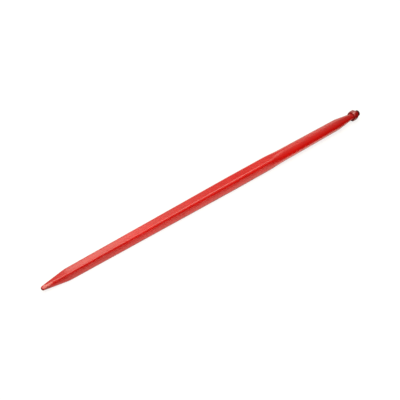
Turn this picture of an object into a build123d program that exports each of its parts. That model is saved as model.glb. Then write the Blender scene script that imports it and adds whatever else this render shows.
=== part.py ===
from build123d import *
import math
import os

# Bale spear in millimetres. +X runs along the spear towards its point, +Z is up as it lies on the ground.
# The origin is the centre of the round seat's large end, where the spear enters its socket.

# Lengths along the spear, from the point back to the threaded end
POINT_LENGTH = 80.0
TAPER_LENGTH = 599.0
ROOT_LENGTH = 151.0
BLEND_LENGTH = 42.0
SEAT_LENGTH = 269.0
PILOT_LENGTH = 60.0
THREAD_LENGTH = 44.0

# Square bar, measured across its slightly crowned faces, with rounded corners
ROOT_FLATS = 35.2
ROOT_CORNER = 7.5
SHOULDER_FLATS = 26.5
SHOULDER_CORNER = 4.8
FACE_RADIUS = 200.0

# Rounded nose, and the slope of the point where the nose begins
NOSE_RADIUS = 6.3
NOSE_SLOPE = 7.0

# Angle on each side of a face's middle that the face still fills where it runs out into a round
RUNOUT_ANGLE = 24.0

# Round end: a slim tapered seat, a steeper pilot cone that stops a step above the thread, and the shank
SEAT_LARGE_DIAMETER = 38.6
SEAT_SMALL_DIAMETER = 35.0
SEAT_HEEL_RADIUS = 60.0
THREAD_DIAMETER = 20.0
THREAD_PITCH = 1.5
PILOT_STEP = 0.75

# Hexagon nut on the shank
NUT_FLATS = 30.0
NUT_HEIGHT = 18.0
NUT_STANDOFF = 11.0
NUT_FACE_INSET = 0.75
NUT_CHAMFER_ANGLE = 30.0
NUT_CLEARANCE = 0.1

# Depth of the metric thread below its crest, which the end chamfer and the nut's countersinks clear
DEPTH_PER_PITCH = 0.6134
THREAD_DEPTH = DEPTH_PER_PITCH * THREAD_PITCH

# Circle where the nose takes over from the point's faces
NOSE_RIM_RADIUS = NOSE_RADIUS * math.cos(math.radians(NOSE_SLOPE))

# Stations along X
BLEND_X = BLEND_LENGTH
ROOT_X = BLEND_X + ROOT_LENGTH
SHOULDER_X = ROOT_X + TAPER_LENGTH
TIP_X = SHOULDER_X + POINT_LENGTH
NOSE_RIM_X = TIP_X - NOSE_RADIUS * (1 - math.sin(math.radians(NOSE_SLOPE)))
SEAT_END_X = -SEAT_LENGTH
PILOT_END_X = SEAT_END_X - PILOT_LENGTH
BUTT_X = PILOT_END_X - THREAD_LENGTH
NUT_FACE_X = PILOT_END_X - NUT_STANDOFF
NUT_BACK_X = NUT_FACE_X - NUT_HEIGHT


def across(x):
    """Plane square to the spear at x, with Y to the right and Z up."""
    return Plane(origin=(x, 0, 0), x_dir=(0, 1, 0), z_dir=(1, 0, 0))


def bar_section(x, flats, corner):
    """Square of four crowned faces that meet on its diagonals, with the corners rounded."""
    face = flats / 2
    centre = FACE_RADIUS - face
    edge = (math.sqrt(2 * FACE_RADIUS**2 - centre**2) - centre) / 2
    side = ThreePointArc((edge, -edge), (face, 0), (edge, edge))
    outline = make_face([Rot(Z=90 * turn) * side for turn in range(4)])
    return across(x) * fillet(outline.vertices(), corner)


def round_section(x, radius):
    """Circle in eight arcs, one for each face and corner of the square that runs into it."""
    face_span = 2 * RUNOUT_ANGLE
    corner_span = 90 - face_span
    arcs = []
    for turn in range(4):
        start = 90 * turn - RUNOUT_ANGLE
        arcs.append(CenterArc((0, 0), radius, start, face_span))
        arcs.append(CenterArc((0, 0), radius, start + face_span, corner_span))
    return across(x) * make_face(arcs)


def forged_bar():
    """Square bar that runs out into the seat's round at one end and into the nose's round at the other."""
    seat_round = round_section(0, SEAT_LARGE_DIAMETER / 2)
    blend_square = bar_section(BLEND_X, ROOT_FLATS, ROOT_CORNER)
    root_square = bar_section(ROOT_X, ROOT_FLATS, ROOT_CORNER)
    shoulder_square = bar_section(SHOULDER_X, SHOULDER_FLATS, SHOULDER_CORNER)
    nose_round = round_section(NOSE_RIM_X, NOSE_RIM_RADIUS)
    return loft([seat_round, blend_square, root_square, shoulder_square, nose_round], ruled=True)


def nose():
    """Ball-ended cap that the point's four faces run into."""
    arc = CenterArc((TIP_X - NOSE_RADIUS, 0), NOSE_RADIUS, 0, 90 - NOSE_SLOPE)
    base = Polyline((NOSE_RIM_X, NOSE_RIM_RADIUS), (NOSE_RIM_X, 0), (TIP_X, 0))
    return revolve(make_face([arc, base]), Axis.X)


def turned_end():
    """Seat, pilot cone and shank, turned about the spear's axis."""
    seat_small = SEAT_SMALL_DIAMETER / 2
    shank = THREAD_DIAMETER / 2
    outline = Polyline(
        (0, 0),
        (0, SEAT_LARGE_DIAMETER / 2),
        (SEAT_END_X, seat_small),
        (PILOT_END_X, shank + PILOT_STEP),
        (PILOT_END_X, shank),
        (BUTT_X + THREAD_DEPTH, shank),
        (BUTT_X, shank - THREAD_DEPTH),
        (BUTT_X, 0),
        close=True,
    )
    profile = make_face(outline)
    heel = profile.vertices().sort_by_distance((SEAT_END_X, seat_small))[0]
    return revolve(fillet(heel, SEAT_HEEL_RADIUS), Axis.X)


def spear():
    """The whole forging in one piece."""
    return forged_bar() + nose() + turned_end()


def hex_nut():
    """Hexagon nut with both ends chamfered, a plain bore and countersunk mouths."""
    face = NUT_FLATS / 2 - NUT_FACE_INSET
    point = NUT_FLATS / 2 / math.cos(math.pi / 6)
    drop = (point - face) * math.tan(math.radians(NUT_CHAMFER_ANGLE))
    bore = THREAD_DIAMETER / 2 + NUT_CLEARANCE
    mouth = bore + THREAD_DEPTH
    outline = Polyline(
        (NUT_FACE_X - THREAD_DEPTH, bore),
        (NUT_FACE_X, mouth),
        (NUT_FACE_X, face),
        (NUT_FACE_X - drop, point),
        (NUT_BACK_X + drop, point),
        (NUT_BACK_X, face),
        (NUT_BACK_X, mouth),
        (NUT_BACK_X + THREAD_DEPTH, bore),
        close=True,
    )
    hexagon = RegularPolygon(NUT_FLATS / 2, 6, major_radius=False)
    prism = extrude(across(NUT_BACK_X) * hexagon, NUT_HEIGHT)
    return prism & revolve(make_face(outline), Axis.X)


nodes = {"spear": spear(), "hex_nut": hex_nut()}

os.makedirs("parts", exist_ok=True)
for name, solid in nodes.items():
    export_step(solid, f"parts/{name}.step")
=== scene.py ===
# %% [markdown]
# # A bale spear in red enamel
# A bale spear is the long steel prong that a loader pushes into a hay bale to lift it. It is one forging:
# a square bar that tapers to a point, a round seat that is drawn into a socket, and a threaded shank with
# a hexagon nut. The imported CAD part gives the true sizes, so it is loaded first and only measured.
# Its boxes give the tip, the threaded end and the size of the nut. The finished pieces have to stay
# inside it.

# %% Load the imported part
import math

import bmesh
import bpy
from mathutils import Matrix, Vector


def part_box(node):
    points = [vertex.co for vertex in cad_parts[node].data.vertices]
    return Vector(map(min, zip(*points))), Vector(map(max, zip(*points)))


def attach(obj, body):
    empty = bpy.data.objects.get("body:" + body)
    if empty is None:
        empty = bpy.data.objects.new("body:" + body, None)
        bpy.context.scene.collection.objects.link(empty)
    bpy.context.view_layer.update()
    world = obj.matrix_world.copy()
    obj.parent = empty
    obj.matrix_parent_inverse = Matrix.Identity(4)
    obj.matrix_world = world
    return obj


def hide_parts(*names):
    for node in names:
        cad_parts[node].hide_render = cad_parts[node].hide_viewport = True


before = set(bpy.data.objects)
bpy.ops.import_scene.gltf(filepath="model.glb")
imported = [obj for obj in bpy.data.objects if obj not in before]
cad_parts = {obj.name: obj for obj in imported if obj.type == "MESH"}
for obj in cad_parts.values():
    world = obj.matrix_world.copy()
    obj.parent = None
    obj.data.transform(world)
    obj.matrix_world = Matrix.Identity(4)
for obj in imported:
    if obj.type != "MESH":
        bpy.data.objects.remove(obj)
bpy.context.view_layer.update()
bpy.ops.object.select_all(action="DESELECT")

MM = 0.001

# %% [markdown]
# ## The camera
# The picture was taken from in front of the point, well above the ground, with a long lens. The bar shows
# its top and its near side equally wide, so the camera looks down on an edge. A camera can be placed by
# three coordinates, but each of them moves the picture in several ways. So the place is given as a compass
# direction, a height angle and a distance from a point on the axis, and each number moves it in one way.

# %% Set the camera
VIEW_AZIMUTH = math.radians(136.573)
VIEW_ELEVATION = math.radians(35.989)
VIEW_DISTANCE = 2819.0 * MM
VIEW_MIDDLE_X = 322.04 * MM
VIEW_RAISED = 1.9 * MM
VIEW_LEFT = 0.45 * MM
SENSOR_WIDTH = 36.0
LENS = 90.0
FARTHEST_SEEN = 100.0

towards_camera = Vector((
    math.sin(VIEW_AZIMUTH) * math.cos(VIEW_ELEVATION),
    -math.cos(VIEW_AZIMUTH) * math.cos(VIEW_ELEVATION),
    math.sin(VIEW_ELEVATION),
))
camera_turn = (-towards_camera).to_track_quat("-Z", "Y")
camera_up = camera_turn @ Vector((0, 1, 0))
camera_right = camera_turn @ Vector((1, 0, 0))
looked_at = Vector((VIEW_MIDDLE_X, 0, 0)) + VIEW_RAISED * camera_up - VIEW_LEFT * camera_right

bpy.ops.object.camera_add(location=looked_at + VIEW_DISTANCE * towards_camera)
camera = bpy.context.object
camera.rotation_euler = camera_turn.to_euler()
camera.data.sensor_width = SENSOR_WIDTH
camera.data.lens = LENS
camera.data.clip_end = FARTHEST_SEEN
bpy.context.scene.camera = camera
print("camera at", [round(c, 3) for c in camera.location])

# %% [markdown]
# ## Stations along the spear
# A smith thinks of a forging as a row of cross-sections at known distances. A primitive could be pushed and
# pulled until it looks right, but then no distance is certain, so the smith's list drives the mesh here.
# The tip and the threaded end are read from the CAD node's box. The other stations repeat the part's own.

# %% Mark the stations
spear_low, spear_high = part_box("spear")
TIP_X = spear_high.x
SHOULDER_X = 792 * MM
ROOT_X = 193 * MM
BLEND_X = 42 * MM
SEAT_X = 0.0
SEAT_END_X = -269 * MM
PILOT_END_X = -329 * MM
BUTT_X = spear_low.x
print("tip to threaded end:", round((TIP_X - BUTT_X) / MM, 1), "mm")

# %% [markdown]
# ## A compass for drawing sections
# Every curve on this object is part of a circle, so the pieces are drawn the way a draughtsman would draw
# them: one point is set down and swung round a centre. A curve object could hold such arcs too, but only a
# mesh lets us say how many points an arc gets. Blender's spin operator is the compass. A single point comes
# from a tiny plane that is merged at its centre. The spin operator turns clockwise for a positive angle, so
# the helper changes the sign.

# %% Take up the drawing tools
SEAM = 0.001 * MM


def empty_piece(name):
    """A piece with nothing in it yet, left in edit mode."""
    bpy.ops.object.select_all(action="DESELECT")
    bpy.ops.mesh.primitive_plane_add(size=MM)
    piece = bpy.context.object
    piece.name = piece.data.name = name
    bpy.ops.object.mode_set(mode="EDIT")
    bpy.ops.mesh.select_all(action="SELECT")
    bpy.ops.mesh.delete(type="VERT")
    return piece


def set_point(place):
    """Sets down one selected point."""
    bpy.ops.mesh.select_mode(type="VERT")
    bpy.ops.mesh.select_all(action="DESELECT")
    bpy.ops.mesh.primitive_plane_add(size=MM, location=place)
    bpy.ops.mesh.merge(type="CENTER")


def swing(steps, degrees, centre, axis=(1, 0, 0)):
    """Swings what is selected round an axis, leaving the arc or the surface that it sweeps."""
    bpy.ops.mesh.spin(steps=steps, angle=-math.radians(degrees), center=centre, axis=axis)


def join_seams():
    """Merges points that lie on each other and turns every face outwards."""
    bpy.ops.mesh.select_all(action="SELECT")
    bpy.ops.mesh.remove_doubles(threshold=SEAM)
    bpy.ops.mesh.normals_make_consistent(inside=False)


spear = empty_piece("spear_forging")
print("started:", spear.name)

# %% [markdown]
# ## The seat's cross-section
# Where the bar meets its seat the forging is round, so the first section is a plain circle. Any number of
# points would do for the seat alone, but the square sections have to meet it point to point. In each quarter
# of the circle a face of the bar takes 48 degrees and a corner takes 42. With 16 steps to a face and 14 to
# a corner, that is a point every 3 degrees and 120 points in all.

# %% Draw the seat's section
FACE_STEPS = 16
CORNER_STEPS = 14
AROUND = 4 * (FACE_STEPS + CORNER_STEPS)
SEAT_LARGE = 19.3 * MM


def round_ring(x, radius):
    """One round section."""
    bpy.ops.mesh.select_all(action="DESELECT")
    bpy.ops.mesh.primitive_circle_add(
        vertices=AROUND, radius=radius, location=(x, 0, 0), rotation=(0, math.pi / 2, 0)
    )


round_ring(SEAT_X, SEAT_LARGE)
print("points in a section:", AROUND)

# %% [markdown]
# ## The bar's cross-sections
# The bar is square with slightly crowned faces and well rounded corners, as hot-forged bar is. A square with
# bevelled corners would be quicker, but its faces would be flat and would mirror the room like a window pane.
# So each section is four long arcs for the faces and four short ones for the corners. The bar keeps its
# section from the blend to the root and then thins to the shoulder behind the point.

# %% Draw the bar's sections
FACE_RADIUS = 200 * MM
ROOT_FLATS = 35.2 * MM
ROOT_CORNER = 7.5 * MM
SHOULDER_FLATS = 26.5 * MM
SHOULDER_CORNER = 4.8 * MM


def square_ring(x, flats, corner):
    """One section of the bar, four faces and four corners."""
    # A face's arc is centred beyond the axis. A corner's arc runs into it where the two centres are the
    # difference of the two radii apart, and that places the corner's centre on the diagonal.
    beyond = FACE_RADIUS - flats / 2
    reach = FACE_RADIUS - corner
    corner_in = (math.sqrt(2 * reach**2 - beyond**2) - beyond) / 2
    corner_out = math.sqrt(2) * corner_in
    half_face = math.atan2(corner_in, corner_in + beyond)
    face_turn = math.degrees(2 * half_face)
    set_point((x, FACE_RADIUS * math.cos(half_face) - beyond, -FACE_RADIUS * math.sin(half_face)))
    for side in range(4):
        out = math.radians(90 * side)
        diagonal = out + math.radians(45)
        swing(FACE_STEPS, face_turn, (x, -beyond * math.cos(out), -beyond * math.sin(out)))
        corner_centre = (x, corner_out * math.cos(diagonal), corner_out * math.sin(diagonal))
        swing(CORNER_STEPS, 90 - face_turn, corner_centre)


square_ring(BLEND_X, ROOT_FLATS, ROOT_CORNER)
square_ring(ROOT_X, ROOT_FLATS, ROOT_CORNER)
square_ring(SHOULDER_X, SHOULDER_FLATS, SHOULDER_CORNER)
print("bar over its flats:", round(ROOT_FLATS / MM, 1), "to", round(SHOULDER_FLATS / MM, 1), "mm")

# %% [markdown]
# ## The nose's cross-section
# The point ends in a small ball, so that it parts the hay and doesn't cut it. The last section is the circle
# where the ball takes over. It could lie at the ball's widest place, but the point still tapers there and a
# kink would show. So it lies a little further on, where the ball's own slope is about that of the taper.

# %% Draw the nose's section
NOSE_RADIUS = 6.3 * MM
NOSE_SLOPE = 7.0  # degrees

nose_rim = NOSE_RADIUS * math.cos(math.radians(NOSE_SLOPE))
nose_rim_x = TIP_X - NOSE_RADIUS * (1 - math.sin(math.radians(NOSE_SLOPE)))
round_ring(nose_rim_x, nose_rim)
join_seams()
print("sections drawn:", len(bmesh.from_edit_mesh(spear.data).verts) / AROUND)

# %% [markdown]
# ## The bar itself
# A cube could be stretched to the bar's length and tapered, but its faces would be flat and its ends square.
# Bridging two edge loops puts a band of faces between them, whatever form each has. Every stretch of this
# bar is straight between its end sections, so one band for each stretch is all that its form needs.

# %% Bridge the sections
ON_STATION = 0.01 * MM


def pick(test):
    """Selects the points that pass a test, with the edges and faces between them."""
    bpy.ops.mesh.select_mode(type="VERT")
    bpy.ops.mesh.select_all(action="DESELECT")
    drawing = bmesh.from_edit_mesh(bpy.context.object.data)
    for point in drawing.verts:
        point.select_set(test(point))
    drawing.select_flush(True)
    bmesh.update_edit_mesh(bpy.context.object.data)


def at(*stations):
    """A test for points on any of the stations."""
    return lambda point: any(abs(point.co.x - x) < ON_STATION for x in stations)


bar_stations = [SEAT_X, BLEND_X, ROOT_X, SHOULDER_X, nose_rim_x]
for near, far in zip(bar_stations, bar_stations[1:]):
    pick(at(near, far))
    bpy.ops.mesh.bridge_edge_loops()
print("faces on the bar:", len(bmesh.from_edit_mesh(spear.data).faces))

# %% [markdown]
# ## The turned end
# The seat, the pilot cone behind it and the shank are turned on a lathe after forging. They could be stacked
# from cones and cylinders, but the heel between seat and cone is an arc, and each joint would have to be
# welded. A lathe is a spin through a full circle. So the outline is drawn once, above the axis, from the
# seat's large end to the middle of the shank's end. First the arc of the heel is laid out between the two
# slopes that it joins.

# %% Lay out the heel
SEAT_SMALL = 17.5 * MM
HEEL_RADIUS = 60 * MM
SHANK = 10 * MM
PILOT_STEP = 0.75 * MM

seat_edge = Vector((SEAT_X, 0, SEAT_LARGE))
heel = Vector((SEAT_END_X, 0, SEAT_SMALL))
pilot_end = Vector((PILOT_END_X, 0, SHANK + PILOT_STEP))
seat_run = Vector((SEAT_END_X - SEAT_X, 0, SEAT_SMALL - SEAT_LARGE)).normalized()
pilot_run = Vector((PILOT_END_X - SEAT_END_X, 0, SHANK + PILOT_STEP - SEAT_SMALL)).normalized()
heel_turn = seat_run.angle(pilot_run)
heel_cut = HEEL_RADIUS * math.tan(heel_turn / 2)
heel_start = heel - heel_cut * seat_run
heel_centre = heel_start + HEEL_RADIUS * Vector((-seat_run.z, 0, seat_run.x))
print("the heel turns by", round(math.degrees(heel_turn), 2), "degrees")

# %% Turn the seat and the shank
HEEL_STEPS = 6
THREAD_PITCH = 1.5 * MM
DEPTH_PER_PITCH = 0.6134  # of a metric thread on a bolt
THREAD_DEPTH = DEPTH_PER_PITCH * THREAD_PITCH


def draw_by(step):
    """Draws a straight line from the selected point."""
    bpy.ops.mesh.extrude_region_move(TRANSFORM_OT_translate={"value": step})


def turn_outline():
    """Spins the loose line that was drawn last through a full circle about the spear's axis."""
    pick(lambda point: not point.link_faces)
    swing(AROUND, 360, (0, 0, 0))


set_point(seat_edge)
draw_by(heel_start - seat_edge)
swing(HEEL_STEPS, math.degrees(heel_turn), heel_centre, axis=(0, -1, 0))
draw_by(pilot_end - heel - heel_cut * pilot_run)
draw_by((0, 0, -PILOT_STEP))
draw_by((BUTT_X + THREAD_DEPTH - PILOT_END_X, 0, 0))
draw_by((-THREAD_DEPTH, 0, -THREAD_DEPTH))
draw_by((0, 0, THREAD_DEPTH - SHANK))
turn_outline()
join_seams()
print("points with the turned end:", len(bmesh.from_edit_mesh(spear.data).verts))

# %% [markdown]
# ## The nose
# The nose is ground round. A sphere primitive could be cut and set on the point, but its points wouldn't
# meet those of the last section. An arc from that section to the tip, spun in as many steps as a section has
# points, meets it all the way round, and the seam closes when the doubled points are merged.

# %% Turn the nose
NOSE_STEPS = 16

set_point((nose_rim_x, 0, nose_rim))
swing(NOSE_STEPS, 90 - NOSE_SLOPE, (TIP_X - NOSE_RADIUS, 0, 0), axis=(0, 1, 0))
turn_outline()
join_seams()
print("points with the nose:", len(bmesh.from_edit_mesh(spear.data).verts))

# %% [markdown]
# ## Softened changes of slope
# Under a coat of paint no forged change of slope is a hard line. A Bevel modifier that finds edges by their
# angle would miss these, because the angles are small. So the three edge loops where the slope changes are
# picked and bevelled, and the light rolls over the shoulder and over both ends of the blend from square to
# round. It comes before the bar is divided more finely, because a bevel can't reach past the next loop.

# %% Bevel the loops
SOFTENED = {SEAT_X: 12 * MM, BLEND_X: 14 * MM, SHOULDER_X: 9 * MM}
SOFT_STEPS = 6

for x, width in SOFTENED.items():
    pick(at(x))
    bpy.ops.mesh.bevel(offset=width, segments=SOFT_STEPS, affect="EDGES")
print("softened loops:", len(SOFTENED))

# %% [markdown]
# ## Finer steps along the spear
# So far a stretch of the spear has points only near its ends, and the waves of the next step need points to
# move. A Subdivision Surface modifier adds points too, but it would also pull the sections smaller. Plain
# subdivision of the edges that run along the spear keeps every face where it is.

# %% Divide the long faces
FINE_STEP = 5 * MM
SLACK = 1 * MM
NEARLY = 0.9


def run_along(edge):
    """How far an edge runs along the spear."""
    return abs(edge.verts[0].co.x - edge.verts[1].co.x)


def divide_stretch(near, far):
    """Cuts the longest band of faces between two stations into fine steps."""
    bpy.ops.mesh.select_mode(type="EDGE")
    bpy.ops.mesh.select_all(action="DESELECT")
    drawing = bmesh.from_edit_mesh(spear.data)
    inside = [e for e in drawing.edges if all(near - SLACK < p.co.x < far + SLACK for p in e.verts)]
    longest = max(run_along(edge) for edge in inside)
    for edge in inside:
        edge.select_set(run_along(edge) > NEARLY * longest)
    bmesh.update_edit_mesh(spear.data)
    bpy.ops.mesh.subdivide(number_cuts=math.ceil(longest / FINE_STEP) - 1)


spear_stations = [PILOT_END_X, SEAT_END_X] + bar_stations
for near, far in zip(spear_stations, spear_stations[1:]):
    divide_stretch(near, far)
bpy.ops.object.mode_set(mode="OBJECT")
print("points after dividing:", len(spear.data.vertices))

# %% [markdown]
# ## The forged surface
# A forged bar is never quite flat: the hammer and the rolls leave shallow waves of a tenth of a millimetre or
# two, which make the reflections wander a little. A bump in the paint could fake them, but real waves are
# also there in the mesh that is handed on. Displace moves each point along its normal by a cloud texture, a
# little in or a little out. The turned seat and shank have no such waves, so a vertex group leaves them out,
# and it fades in behind the seat and out towards the ground nose, so that no step shows.

# %% Wave the forged faces
WAVE_DEPTH = 0.3 * MM
WAVE_SIZE = 45 * MM
WAVE_LAYERS = 2
MIDDLE_TONE = 0.5
FADE = 60 * MM

forged = spear.vertex_groups.new(name="forged")
for vertex in spear.data.vertices:
    share = min(1.0, (vertex.co.x - SEAT_X) / FADE, (TIP_X - vertex.co.x) / FADE)
    if share > 0:
        forged.add([vertex.index], share, "REPLACE")

waves = bpy.data.textures.new("forging_waves", "CLOUDS")
waves.noise_scale = WAVE_SIZE
waves.noise_depth = WAVE_LAYERS
displace = spear.modifiers.new("forging_waves", "DISPLACE")
displace.texture = waves
displace.texture_coords = "LOCAL"
displace.vertex_group = "forged"
displace.mid_level = MIDDLE_TONE
displace.strength = WAVE_DEPTH
bpy.ops.object.modifier_apply(modifier="forging_waves")
spear.vertex_groups.clear()
bpy.data.textures.remove(waves)
print("highest point of the spear:", round(max(v.co.z for v in spear.data.vertices) / MM, 2), "mm")

# %% [markdown]
# ## The tool that cuts the thread
# The shank carries a metric thread of 20 mm by 1.5 mm. On the lathe a pointed tool cuts it: a V-shaped groove
# that climbs one pitch in each turn. A row of grooves cut square to the axis would be simpler, but no nut
# could travel along it. So the tool's outline is drawn once, and the Screw modifier carries it along the
# helix. Above the shank the tool's sides are upright, so that neighbouring turns never touch.

# %% Draw the tool's outline
FLANK = math.tan(math.radians(30))
CREST_PER_PITCH = 1 / 8
GROOVE_HALF = (1 - CREST_PER_PITCH) / 2 * THREAD_PITCH
TOOL_EAVES = 0.06 * MM
TOOL_TOP = 0.4 * MM

groove = [
    (-GROOVE_HALF - FLANK * TOOL_EAVES, SHANK + TOOL_TOP),
    (-GROOVE_HALF - FLANK * TOOL_EAVES, SHANK + TOOL_EAVES),
    (-GROOVE_HALF + FLANK * THREAD_DEPTH, SHANK - THREAD_DEPTH),
    (GROOVE_HALF - FLANK * THREAD_DEPTH, SHANK - THREAD_DEPTH),
    (GROOVE_HALF + FLANK * TOOL_EAVES, SHANK + TOOL_EAVES),
    (GROOVE_HALF + FLANK * TOOL_EAVES, SHANK + TOOL_TOP),
]
print("groove:", round(2 * GROOVE_HALF / MM, 3), "mm wide,", round(THREAD_DEPTH / MM, 3), "mm deep")

# %% Wind the tool
STEPS_PER_TURN = 64
RUN_OUT_X = PILOT_END_X - 2.0 * MM


def helical_bar(name, outline, start_x, turns):
    """A bar of the given outline, in pairs of distance along and out from the axis, wound right-handed."""
    piece = empty_piece(name)
    set_point((start_x + outline[0][0], 0, outline[0][1]))
    for (x, out), (next_x, next_out) in zip(outline, outline[1:] + outline[:1]):
        draw_by((next_x - x, 0, next_out - out))
    join_seams()
    bpy.ops.object.mode_set(mode="OBJECT")
    winding = piece.modifiers.new("winding", "SCREW")
    winding.axis = "X"
    winding.screw_offset = THREAD_PITCH
    winding.iterations = turns
    winding.steps = winding.render_steps = STEPS_PER_TURN
    bpy.ops.object.modifier_apply(modifier="winding")
    return piece


# One turn more than the shank needs, so that the tool enters from beyond its end.
groove_turns = math.ceil((RUN_OUT_X - BUTT_X) / THREAD_PITCH) + 1
groove_start = RUN_OUT_X - groove_turns * THREAD_PITCH
thread_tool = helical_bar("thread_tool", groove, groove_start, groove_turns)
print("thread tool:", groove_turns, "turns")

# %% [markdown]
# ## The thread on the shank
# A turner draws the tool out over the last turn, so that the groove runs out shallow before the pilot cone.
# A second, smaller tool could cut that turn, but it is simpler to move the points of the tool's last turn
# outwards, each a little more than the one before. A Boolean then takes the tool out of the shank. Such a
# cut can leave points almost on top of each other, so those are merged afterwards.

# %% Draw the tool out over its last turn
PAST_SURFACE = 1.1


def close_ends():
    """Caps the two open ends of the active helical bar and turns its faces outwards."""
    bpy.ops.object.mode_set(mode="EDIT")
    bpy.ops.mesh.select_all(action="SELECT")
    bpy.ops.mesh.fill_holes(sides=0)
    bpy.ops.mesh.select_all(action="SELECT")
    bpy.ops.mesh.normals_make_consistent(inside=False)
    bpy.ops.object.mode_set(mode="OBJECT")


tool_rows = len(thread_tool.data.vertices) // len(groove)
for vertex in thread_tool.data.vertices:
    rows_left = tool_rows - 1 - vertex.index // len(groove)
    drawn_out = max(0.0, 1 - rows_left / STEPS_PER_TURN) * PAST_SURFACE * THREAD_DEPTH
    out = Vector((0, vertex.co.y, vertex.co.z)).normalized()
    vertex.co += out * drawn_out
close_ends()
print("outlines along the tool:", tool_rows)

# %% Cut the thread
SLIVER = 0.004 * MM


def cut(piece, tool, operation="DIFFERENCE"):
    """Takes the tool out of the piece, or keeps only what they share, and puts the tool away."""
    bpy.ops.object.select_all(action="DESELECT")
    bpy.context.view_layer.objects.active = piece
    piece.select_set(True)
    boolean = piece.modifiers.new("cut", "BOOLEAN")
    boolean.operation = operation
    boolean.object = tool
    boolean.solver = "EXACT"
    bpy.ops.object.modifier_apply(modifier="cut")
    bpy.data.objects.remove(tool)


def merge_slivers():
    """Merges the few points of the active piece that a cut leaves almost on top of each other."""
    bpy.ops.object.mode_set(mode="EDIT")
    bpy.ops.mesh.select_all(action="SELECT")
    bpy.ops.mesh.remove_doubles(threshold=SLIVER)
    bpy.ops.object.mode_set(mode="OBJECT")


cut(spear, thread_tool)
merge_slivers()
print("points with the thread:", len(spear.data.vertices))

# %% [markdown]
# ## The nut's blank
# A nut begins as a slice of hexagon bar, so a six-sided cylinder is the start. Its ends are then chamfered on
# a lathe, which leaves the curved line that crosses each flat. A bevel of the end edges can't give that
# line, because it would be the same width everywhere. So the lathe's step is copied: a turned blank with
# cone-shaped ends keeps only the part of the hexagon that lies inside it.

# %% Slice the hexagon bar
nut_low, nut_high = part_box("hex_nut")
NUT_HALF_FLATS = nut_high.z
nut_middle = (nut_low.x + nut_high.x) / 2
nut_height = nut_high.x - nut_low.x
nut_point = NUT_HALF_FLATS / math.cos(math.pi / 6)

bpy.ops.object.select_all(action="DESELECT")
bpy.ops.mesh.primitive_cylinder_add(
    vertices=6, radius=nut_point, depth=nut_height, location=(nut_middle, 0, 0), rotation=(0, math.pi / 2, 0)
)
nut = bpy.context.object
nut.name = nut.data.name = "shank_nut"
bpy.ops.object.transform_apply(location=True, rotation=True, scale=True)
print("hexagon:", round(2 * NUT_HALF_FLATS / MM, 2), "mm across,", round(nut_height / MM, 2), "mm high")

# %% Chamfer the ends
NUT_FACE_INSET = 0.75 * MM
NUT_CHAMFER = math.tan(math.radians(30))
PAST_FACE = 1 * MM
PAST_POINTS = 2 * MM


def turned_tool(name, outline):
    """A solid turned from an outline of pairs of distance along and out from the axis."""
    tool = empty_piece(name)
    set_point((outline[0][0], 0, outline[0][1]))
    for (x, out), (next_x, next_out) in zip(outline, outline[1:]):
        draw_by((next_x - x, 0, next_out - out))
    turn_outline()
    join_seams()
    bpy.ops.object.mode_set(mode="OBJECT")
    return tool


chamfer_in = NUT_HALF_FLATS - NUT_FACE_INSET - PAST_FACE / NUT_CHAMFER
chamfer_out = nut_point + PAST_POINTS
chamfer_drop = (chamfer_out - NUT_HALF_FLATS + NUT_FACE_INSET) * NUT_CHAMFER
cut(nut, turned_tool("chamfer_blank", [
    (nut_high.x + PAST_FACE, 0),
    (nut_high.x + PAST_FACE, chamfer_in),
    (nut_high.x - chamfer_drop, chamfer_out),
    (nut_low.x + chamfer_drop, chamfer_out),
    (nut_low.x - PAST_FACE, chamfer_in),
    (nut_low.x - PAST_FACE, 0),
]), "INTERSECT")
merge_slivers()
print("chamfered nut:", len(nut.data.polygons), "faces")

# %% [markdown]
# ## The nut's worn edges
# Spanners and thick paint have rounded the nut's edges, and a round edge catches the light. A Bevel modifier
# on the finished nut would round the crests of its thread as well. So the sharp edges are selected and
# bevelled now, before the bore is cut.

# %% Round the edges
SHARP = math.radians(20)
NUT_EDGE = 0.9 * MM
NUT_EDGE_STEPS = 3

bpy.ops.object.mode_set(mode="EDIT")
bpy.ops.mesh.select_all(action="DESELECT")
bpy.ops.mesh.edges_select_sharp(sharpness=SHARP)
bpy.ops.mesh.bevel(offset=NUT_EDGE, segments=NUT_EDGE_STEPS, affect="EDGES")
bpy.ops.object.mode_set(mode="OBJECT")
print("nut blank:", len(nut.data.polygons), "faces")

# %% [markdown]
# ## The nut's bore
# The blank is drilled, countersunk at both ends and tapped. The faces could be inset and pulled inwards
# instead, but a thread has to be cut into a solid, so the tools of the shank do this work too. The tap's
# ridge is the shank's own thread form with a little clearance, half a pitch away from the groove, so nut and
# shank really engage.

# %% Drill the nut
CLEARANCE = 0.1 * MM
BORE_PER_PITCH = 0.5413  # of a metric thread in a nut
MOUTH = SHANK + CLEARANCE + THREAD_DEPTH
BORE = SHANK - BORE_PER_PITCH * THREAD_PITCH
mouth_drop = MOUTH - BORE

cut(nut, turned_tool("drill", [
    (nut_high.x + PAST_FACE, 0),
    (nut_high.x + PAST_FACE, MOUTH + PAST_FACE),
    (nut_high.x - mouth_drop, BORE),
    (nut_low.x + mouth_drop, BORE),
    (nut_low.x - PAST_FACE, MOUTH + PAST_FACE),
    (nut_low.x - PAST_FACE, 0),
]))
print("bore:", round(2 * BORE / MM, 2), "mm")

# %% Tap the nut
TAP_FOOT = BORE - 0.3 * MM
TAP_SHOULDER = BORE - 0.05 * MM
RIDGE_HALF = THREAD_PITCH / 2 - GROOVE_HALF
TAP_HALF = RIDGE_HALF + FLANK * CLEARANCE + FLANK * (SHANK - TAP_SHOULDER)

tap = [
    (-TAP_HALF, TAP_FOOT),
    (-TAP_HALF, TAP_SHOULDER),
    (-RIDGE_HALF, SHANK + CLEARANCE),
    (RIDGE_HALF, SHANK + CLEARANCE),
    (TAP_HALF, TAP_SHOULDER),
    (TAP_HALF, TAP_FOOT),
]
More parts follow.
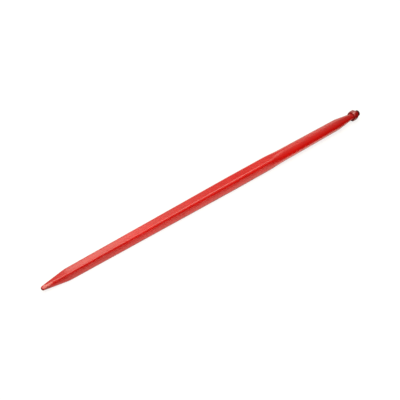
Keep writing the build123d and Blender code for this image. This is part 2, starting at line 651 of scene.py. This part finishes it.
# The tap goes forward or back by whole pitches until it starts and ends outside the nut.
tap_start = groove_start + THREAD_PITCH / 2
tap_start += THREAD_PITCH * (math.floor((nut_low.x - tap_start) / THREAD_PITCH) - 1)
tap_turns = math.ceil(nut_height / THREAD_PITCH) + 3
tap_tool = helical_bar("tap", tap, tap_start, tap_turns)
close_ends()
cut(nut, tap_tool)
merge_slivers()
print("nut:", len(nut.data.polygons), "faces")

# %% [markdown]
# ## Smooth and sharp
# Rounded steel is smooth, but a thread's crests and a nut's chamfers have edges. Plain smooth shading would
# smear the light over those edges, and flat shading would show every face of the bar. Smoothing by angle
# keeps an edge wherever the surface turns by more than 30 degrees and rolls the light over everything else.

# %% Shade the pieces
EDGE_KEPT = math.radians(30)

for piece in (spear, nut):
    bpy.ops.object.select_all(action="DESELECT")
    bpy.context.view_layer.objects.active = piece
    piece.select_set(True)
    bpy.ops.object.shade_smooth_by_angle(angle=EDGE_KEPT)
print("shaded:", spear.name, nut.name)

# %% [markdown]
# ## Red enamel
# The spear is dipped or sprayed in one coat of glossy red machinery enamel, and the nut has a darker coat of
# its own. A painted picture could be wrapped round the steel, but it needs seams and blurs close up. So the
# enamel is mixed from noise that hangs on object coordinates, and all of it stays where it is on the steel.
# It is built up in layers, as paint is. The first is the red itself, which drifts a little between a deeper
# and a fresher tone.

# %% Open two tins of enamel
def add_node(tree, kind, **sockets):
    """Adds a node and sets its sockets by name."""
    node = tree.nodes.new(kind)
    for socket, value in sockets.items():
        node.inputs[socket.replace("_", " ")].default_value = value
    return node


def on_steel(tree):
    """The place of a shaded point on its piece."""
    return tree.nodes["Texture Coordinate"].outputs["Object"]


def noise(tree, scale, detail):
    """Cloudy noise, the same at the same place on the steel."""
    node = add_node(tree, "ShaderNodeTexNoise", Scale=scale, Detail=detail)
    tree.links.new(on_steel(tree), node.inputs["Vector"])
    return node.outputs["Fac"]


paints = {}
for name in ("spear_enamel", "nut_enamel"):
    paints[name] = bpy.data.materials.new(name)
    paints[name].use_nodes = True
    paints[name].node_tree.nodes.new("ShaderNodeTexCoord")
print("opened:", list(paints))

# %% Let the red drift
REDS = {
    "spear_enamel": ((0.49, 0.004, 0.002, 1), (0.55, 0.005, 0.003, 1)),
    "nut_enamel": ((0.225, 0.002, 0.001, 1), (0.29, 0.003, 0.002, 1)),
}
DRIFT_SCALE = 16.0
DRIFT_DETAIL = 3.0
DRIFT_RANGE = (0.35, 0.65)
NONE_TO_ALL = (0.0, 1.0)
ALL_TO_NONE = (1.0, 0.0)


def rescale(tree, value, from_range, to_range):
    """Maps a range of values to another range, and no further than its ends."""
    node = add_node(
        tree,
        "ShaderNodeMapRange",
        From_Min=from_range[0],
        From_Max=from_range[1],
        To_Min=to_range[0],
        To_Max=to_range[1],
    )
    tree.links.new(value, node.inputs["Value"])
    return node.outputs["Result"]


def blend_colours(tree, share, first, second):
    """Mixes two colours, each a socket or four numbers, by a share from 0 to 1."""
    node = tree.nodes.new("ShaderNodeMix")
    node.data_type = "RGBA"
    tree.links.new(share, node.inputs["Factor"])
    for socket, colour in (("A", first), ("B", second)):
        target = next(i for i in node.inputs if i.name == socket and i.type == "RGBA")
        if isinstance(colour, bpy.types.NodeSocket):
            tree.links.new(colour, target)
        else:
            target.default_value = colour
    return next(o for o in node.outputs if o.type == "RGBA")


colours = {}
for name, (deep, fresh) in REDS.items():
    tree = paints[name].node_tree
    drift = rescale(tree, noise(tree, DRIFT_SCALE, DRIFT_DETAIL), DRIFT_RANGE, NONE_TO_ALL)
    colours[name] = blend_colours(tree, drift, deep, fresh)
print("reds mixed for:", list(colours))

# %% [markdown]
# ## Dirt in the coat, and painted shade underneath
# A few specks of dirt were caught in the wet coat, and the underside, which lies on the ground, is painted
# darker as painted shade. Specks could be modelled or placed one by one, but nobody would see a difference.
# Voronoi cells give every speck a place of its own, and each cell's random colour says which few of them are
# dirty. For the painted shade a ramp over the height is enough.

# %% Catch specks of dirt
# One dark tone for each enamel: the colour of the specks of dirt, and also of the painted shade underneath.
DIRT_AND_SHADE = {
    "spear_enamel": (0.06, 0.006, 0.005, 1),
    "nut_enamel": (0.03, 0.004, 0.004, 1),
}
SPECK_SCALE = 70.0
SPECK_EDGE = (0.04, 0.09)
SPECK_CHANCE = (0.93, 0.95)


def combine(tree, operation, *values):
    """Adds or multiplies values."""
    result = values[0]
    for value in values[1:]:
        node = tree.nodes.new("ShaderNodeMath")
        node.operation = operation
        tree.links.new(result, node.inputs[0])
        tree.links.new(value, node.inputs[1])
        result = node.outputs["Value"]
    return result


for name, dirt_and_shade in DIRT_AND_SHADE.items():
    tree = paints[name].node_tree
    cells = add_node(tree, "ShaderNodeTexVoronoi", Scale=SPECK_SCALE)
    tree.links.new(on_steel(tree), cells.inputs["Vector"])
    spot = rescale(tree, cells.outputs["Distance"], SPECK_EDGE, ALL_TO_NONE)
    chance = tree.nodes.new("ShaderNodeSeparateColor")
    tree.links.new(cells.outputs["Color"], chance.inputs["Color"])
    rare = rescale(tree, chance.outputs["Red"], SPECK_CHANCE, NONE_TO_ALL)
    speck = combine(tree, "MULTIPLY", spot, rare)
    colours[name] = blend_colours(tree, speck, colours[name], dirt_and_shade)
print("specks in:", list(DIRT_AND_SHADE))

# %% Paint shade on the underside
# Painted shade: from 7 mm below the axis the coat is blended towards the dark tone, up to half of it from 15
# mm down.
PAINTED_SHADE_HEIGHT = (-7 * MM, -15 * MM)
PAINTED_SHADE_SHARE = (0.0, 0.5)

for name, dirt_and_shade in DIRT_AND_SHADE.items():
    tree = paints[name].node_tree
    height = tree.nodes.new("ShaderNodeSeparateXYZ")
    tree.links.new(on_steel(tree), height.inputs["Vector"])
    underneath = rescale(tree, height.outputs["Z"], PAINTED_SHADE_HEIGHT, PAINTED_SHADE_SHARE)
    colours[name] = blend_colours(tree, underneath, colours[name], dirt_and_shade)
print("painted shade under:", list(DIRT_AND_SHADE))

# %% [markdown]
# ## Marks, painted highlights and painted shade
# Some colour is laid at certain places. The nose and the ridge behind it carry painted highlights, above a
# tip and a lower near side in painted shade. The coat is painted darker towards both ends as painted shade,
# the shank behind the nut is darker and its last threads are near-black, and the dark red nut has painted
# shade on its lower flats and under the pilot cone, and a painted highlight on one corner. Two small chips
# are real. They could be painted by hand on a texture, but a list is easier to correct. Each mark is a ball
# of colour round a
# point in millimetres: full inside its first radius, gone at its second, with an edge that noise frays. A
# later mark covers an earlier one.

# %% List the marks
MARKS = {
    "spear_enamel": [
        ((-450, 0, 0), 90, 440, (0.355, 0.002, 0.001, 1)),  # painted shade: the coat darker towards the seat end
        ((1000, 0, 0), 140, 420, (0.425, 0.003, 0.002, 1)),  # painted shade: the coat darker towards the point
        ((858, 10, -3), 7, 12, (0.245, 0.003, 0.002, 1)),  # painted shade on the lower near side of the nose
        ((858, 5.0, 5.8), 2, 4.5, (0.56, 0.15, 0.14, 1)),  # painted highlight on the ridge behind the nose
        ((853, 5.4, 6.2), 2, 4.5, (0.56, 0.13, 0.12, 1)),  # painted highlight on the ridge, further back
        ((848, 5.8, 6.6), 2, 4.5, (0.56, 0.11, 0.10, 1)),  # painted highlight on the ridge, further back still
        ((843, 6.2, 7.0), 2, 4.5, (0.54, 0.07, 0.06, 1)),  # painted highlight on the ridge, where it fades
        ((865, 3, 5.5), 2, 7.5, (0.56, 0.15, 0.145, 1)),  # painted highlight on the nose
        ((876, 2, -5), 7.5, 10, (0.155, 0.004, 0.003, 1)),  # painted shade under the tip
        ((780, -3, 13), 0.6, 1.9, (0.18, 0.008, 0.006, 1)),  # chip on the top face
        ((351, 16.5, 3.6), 0.6, 1.9, (0.18, 0.006, 0.006, 1)),  # chip on the near face
        ((-400, 0, 0), 44, 49, (0.225, 0.003, 0.002, 1)),  # darker red on the shank behind the nut
        ((-373, 0, 0), 11, 13, (0.03, 0.003, 0.003, 1)),  # near-black on the last threads
    ],
    "nut_enamel": [
        ((-347, 14, -6), 9, 15, (0.145, 0.001, 0.001, 1)),  # painted shade on the lower flats
        ((-341, 4, -14), 5, 9, (0.06, 0.003, 0.003, 1)),  # painted shadow under the pilot cone
        ((-343.5, 7.5, 15.5), 1.5, 5.5, (0.58, 0.20, 0.20, 1)),  # painted highlight on one corner
    ],
}
print("marks:", {name: len(marks) for name, marks in MARKS.items()})

# %% Lay on the marks
FRAY_SCALE = 260.0
FRAY_DETAIL = 3.0
FRAY_RANGE = (0.25, 0.75)
MOST_FRAY = 6.0

for name, marks in MARKS.items():
    tree = paints[name].node_tree
    frayed = noise(tree, FRAY_SCALE, FRAY_DETAIL)
    for centre, full, gone, tone in marks:
        away = tree.nodes.new("ShaderNodeVectorMath")
        away.operation = "DISTANCE"
        tree.links.new(on_steel(tree), away.inputs[0])
        away.inputs[1].default_value = [c * MM for c in centre]
        fray = min(gone - full, MOST_FRAY) * MM
        edge_shift = rescale(tree, frayed, FRAY_RANGE, (-fray, fray))
        ragged = combine(tree, "ADD", away.outputs["Value"], edge_shift)
        share = rescale(tree, ragged, (full * MM, gone * MM), ALL_TO_NONE)
        colours[name] = blend_colours(tree, share, colours[name], tone)
print("marks laid on:", list(MARKS))

# %% [markdown]
# ## Gloss and orange peel
# The steel was only brushed before it was painted, so the scale of the forging shows through the coat as
# shallow bumps, and the coat itself dried with fine orange peel. Both are far too small for the mesh, and a
# bump only has to break the gloss, so noise is enough. The gloss drifts a little too.

# %% Finish the coats
ROUGHNESS = {"spear_enamel": (0.20, 0.27), "nut_enamel": (0.22, 0.30)}
GLOSS_SCALE = 40.0
GLOSS_DETAIL = 4.0
GLOSS_RANGE = (0.3, 0.7)
FORGED_SCALE = 90.0
FORGED_DETAIL = 4.0
PEEL_SCALE = 650.0
PEEL_DETAIL = 2.0

for name, smooth_to_dull in ROUGHNESS.items():
    tree = paints[name].node_tree
    shader = tree.nodes["Principled BSDF"]
    tree.links.new(colours[name], shader.inputs["Base Color"])
    dullness = rescale(tree, noise(tree, GLOSS_SCALE, GLOSS_DETAIL), GLOSS_RANGE, smooth_to_dull)
    tree.links.new(dullness, shader.inputs["Roughness"])

    forge_scale = add_node(tree, "ShaderNodeBump", Strength=0.2, Distance=0.25 * MM)
    tree.links.new(noise(tree, FORGED_SCALE, FORGED_DETAIL), forge_scale.inputs["Height"])
    peel = add_node(tree, "ShaderNodeBump", Strength=0.4, Distance=0.05 * MM)
    tree.links.new(noise(tree, PEEL_SCALE, PEEL_DETAIL), peel.inputs["Height"])
    tree.links.new(forge_scale.outputs["Normal"], peel.inputs["Normal"])
    tree.links.new(peel.outputs["Normal"], shader.inputs["Normal"])

for piece, name in ((spear, "spear_enamel"), (nut, "nut_enamel")):
    piece.data.materials.clear()
    piece.data.materials.append(paints[name])
print("painted:", [piece.data.materials[0].name for piece in (spear, nut)])

# %% [markdown]
# ## A floor that touches
# Lying on the ground, the spear rests on the edge of its seat and on the shoulder behind its point, so the
# ground isn't quite parallel to the axis. The floor could be turned by eye, but then a gap shows under one
# end. A straightedge finds it: from the lowest point of the seat, the shallowest line that nothing of the
# spear hangs below.

# %% Lay the floor
FLOOR_SIZE = 40.0
CLEAR_OF_SEAT = 100 * MM

lowest = min((v.co for v in spear.data.vertices), key=lambda co: co.z)
ahead = [v.co for v in spear.data.vertices if v.co.x > lowest.x + CLEAR_OF_SEAT]
floor_slope = min((co.z - lowest.z) / (co.x - lowest.x) for co in ahead)
bpy.ops.object.select_all(action="DESELECT")
bpy.ops.mesh.primitive_plane_add(size=FLOOR_SIZE, location=lowest)
floor = bpy.context.object
floor.name = "floor"
floor.rotation_euler = (0, -math.atan(floor_slope), 0)
print("floor slope in degrees:", round(math.degrees(math.atan(floor_slope)), 2))

# %% [markdown]
# ## A pale floor
# The floor is a plain pale sheet. White paper under strong light would do it, but that light would bleach the
# spear as well. So the sheet glows a little by itself, which keeps it white in the picture, and it still
# takes the spear's soft shadow. But the spear doesn't see it: low boxes stand in for the light that a real
# floor throws back, because a box's place and brightness can be set.

# %% Make the floor pale
FLOOR_GREY = 0.22
FLOOR_GLOW = 0.8
FLOOR_ROUGHNESS = 0.9

pale = bpy.data.materials.new("pale_floor")
pale.use_nodes = True
pale_shader = pale.node_tree.nodes["Principled BSDF"]
pale_shader.inputs["Base Color"].default_value = (FLOOR_GREY, FLOOR_GREY, FLOOR_GREY, 1)
pale_shader.inputs["Roughness"].default_value = FLOOR_ROUGHNESS
pale_shader.inputs["Specular IOR Level"].default_value = 0.0
pale_shader.inputs["Emission Color"].default_value = (1, 1, 1, 1)
pale_shader.inputs["Emission Strength"].default_value = FLOOR_GLOW
floor.data.materials.append(pale)
floor.visible_glossy = False
floor.visible_diffuse = False
floor.visible_shadow = False
print("floor painted:", pale.name)

# %% [markdown]
# ## Studio light
# Gloss paint shows two things at once: the light that its pigment scatters, and a mirror picture of the room.
# Both can be read from the photo. The pigment is about as bright on the top as on the near side, and no
# brighter on the ridge between them. So its light comes from overhead and from below, where a white floor
# throws it back, and not from the camera: a key box hangs high, a fill box lies low in front, and a rear box
# lights the far side, which the photo hides.
# The mirror picture draws the form: a bright line along the ridge, a pale top face near the point, a deep
# red band under the ridge, a pale strip along the lower edge and a spot on the nose.
# Each bright part needs a white box at the one place that the face mirrors. Such a box has its diffuse
# visibility off, so it can be as bright as the line needs and doesn't bleach the red. The boxes that light
# the pigment have their glossy visibility off, so they don't show in the mirror picture.

# %% Hang the lights
WARM_WHITE = (1.0, 0.96, 0.82)


def softbox(name, place, aim, width, height, brightness, in_gloss):
    """A rectangular studio light that faces a point and either shows in the gloss or lights the pigment."""
    bpy.ops.object.light_add(type="AREA", location=place)
    light = bpy.context.object
    light.name = name
    light.data.shape = "RECTANGLE"
    light.data.size = width
    light.data.size_y = height
    light.data.energy = brightness * math.pi * width * height
    light.data.color = WARM_WHITE
    light.visible_diffuse = not in_gloss
    light.visible_glossy = in_gloss
    light.rotation_euler = (Vector(aim) - Vector(place)).to_track_quat("-Z", "Y").to_euler()


softbox("key_box", (1.5, 0.3, 2.9), (0.5, 0, 0), 1.8, 1.4, 4.2, in_gloss=False)
softbox("nose_box", (1.75, 1.95, 2.05), (0.5, 0, 0), 1.8, 1.4, 5.0, in_gloss=True)
softbox("fill_box", (0.25, 2.7, -1.3), (0.25, 0, 0), 3.0, 1.2, 5.2, in_gloss=False)
softbox("rear_box", (0.25, -3.0, -0.1), (0.25, 0, 0), 3.0, 1.2, 3.0, in_gloss=False)
softbox("ridge_box", (-0.6, -0.3, 1.87), (-0.6, 0, 0), 1.8, 1.4, 3.4, in_gloss=True)
softbox("point_ridge_box", (0.4, -0.4, 1.87), (0.4, 0, 0), 0.45, 0.9, 4.0, in_gloss=True)
softbox("seat_box", (-2.35, -1.3, 1.45), (-2.35, 0, 0), 1.1, 1.5, 1.3, in_gloss=True)
softbox("point_box", (-0.35, -1.6, 1.6), (-0.35, 0, 0), 0.65, 0.6, 2.6, in_gloss=True)
softbox("top_box", (-0.55, -1.65, 1.65), (-0.55, 0, 0), 1.3, 0.7, 0.85, in_gloss=True)
softbox("low_box", (-0.6, 0.55, -1.5), (-0.6, 0, 0), 3.4, 1.6, 1.7, in_gloss=True)

# %% [markdown]
# ## The room
# Between the boxes the gloss mirrors the room itself. One even grey would be simplest, but the photo's room
# is dim in front and low down, and brighter overhead, low at the back and beyond the point. So the world is
# a gradient over the direction: each bright side is made of ramps, and the sides are added up.

# %% Build the room
world = bpy.data.worlds.new("soft_room")
world.use_nodes = True
sky = world.node_tree
way = sky.nodes.new("ShaderNodeSeparateXYZ")
sky.links.new(sky.nodes.new("ShaderNodeTexCoord").outputs["Generated"], way.inputs["Vector"])
along, front, up = way.outputs["X"], way.outputs["Y"], way.outputs["Z"]

ceiling = combine(
    sky,
    "ADD",
    rescale(sky, up, (0.1, 0.6), (0.03, 0.35)),
    rescale(sky, up, (0.65, 0.95), NONE_TO_ALL),
)
back_wall = combine(
    sky,
    "MULTIPLY",
    rescale(sky, front, (-0.3, -0.7), (0.0, 0.9)),
    rescale(sky, up, (-0.5, -0.3), NONE_TO_ALL),
    rescale(sky, up, (0.35, 0.55), ALL_TO_NONE),
)
bright_side = combine(
    sky,
    "MULTIPLY",
    rescale(sky, along, (0.0, 0.3), (0.0, 1.5)),
    rescale(sky, front, (-0.3, 0.1), NONE_TO_ALL),
    rescale(sky, up, (-0.15, 0.05), NONE_TO_ALL),
)
background = sky.nodes["Background"]
sky.links.new(combine(sky, "ADD", ceiling, back_wall, bright_side), background.inputs["Strength"])
background.inputs["Color"].default_value = (*WARM_WHITE, 1)
bpy.context.scene.world = world
bpy.context.scene.view_settings.view_transform = "Standard"
print("room:", world.name)

# %% [markdown]
# ## Handing the pieces over
# Both pieces stand for the CAD nodes that they were measured from, which are hidden, and ride on the part's
# one body.

# %% Attach the pieces to the body
for piece, node, finish in ((spear, "spear", "spear_enamel"), (nut, "hex_nut", "nut_enamel")):
    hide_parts(node)
    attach(piece, "root")
